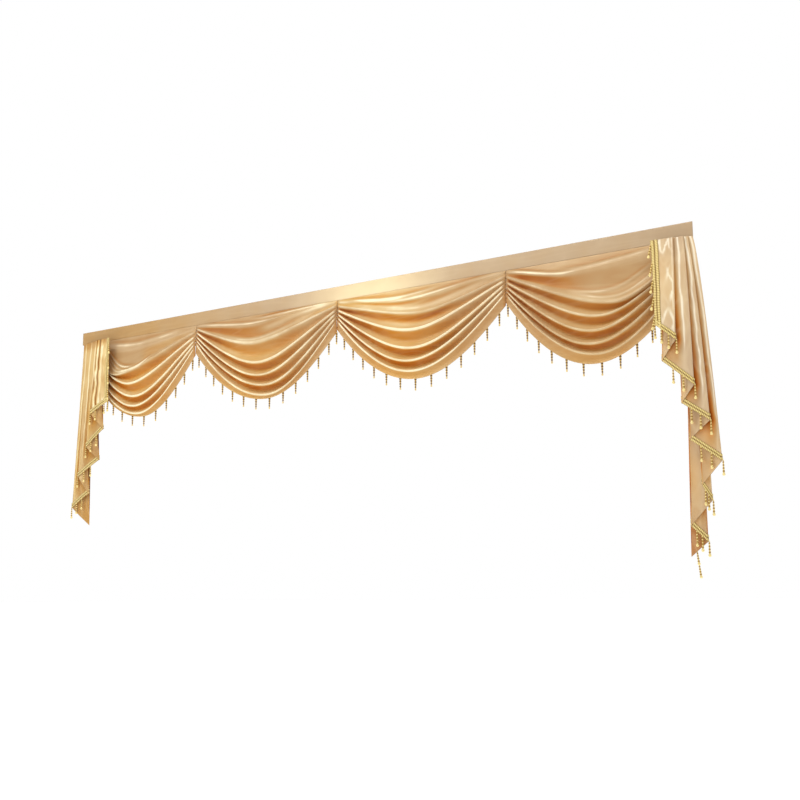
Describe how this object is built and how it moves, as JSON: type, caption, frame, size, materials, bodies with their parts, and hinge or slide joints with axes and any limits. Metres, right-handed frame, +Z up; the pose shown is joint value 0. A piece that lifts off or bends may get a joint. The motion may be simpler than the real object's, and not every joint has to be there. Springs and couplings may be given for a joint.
{
  "type": "swag valance",
  "caption": "Satin window valance: flat heading band, a row of deep pleated swags, a cascading tail at each end, gold braid and hanging bead drops.",
  "frame": {"origin": "middle of the top edge, on the back face of the heading band", "axes": "+X along the valance to the right seen from the room, +Y towards the wall, +Z up"},
  "size_m": [3.086, 0.0994, 1.199],
  "materials": {
    "satin": "satin, glossy, champagne gold",
    "band_satin": "satin, flat and stiffened",
    "gold_braid": "woven gimp braid with two cords",
    "gold_beads": "strung gold beads"
  },
  "bodies": {
    "root": {"heading_band": "band_satin", "joint_strip_1": "band_satin", "joint_strip_2": "band_satin", "joint_strip_3": "band_satin", "swag_1": "satin", "swag_2": "satin", "swag_3": "satin", "swag_4": "satin", "bead_trim_1": "gold_beads", "bead_trim_2": "gold_beads", "bead_trim_3": "gold_beads", "bead_trim_4": "gold_beads", "tail_left": "satin", "tail_right": "satin", "braid_left": "gold_braid", "braid_right": "gold_braid"}
  },
  "joints": []
}
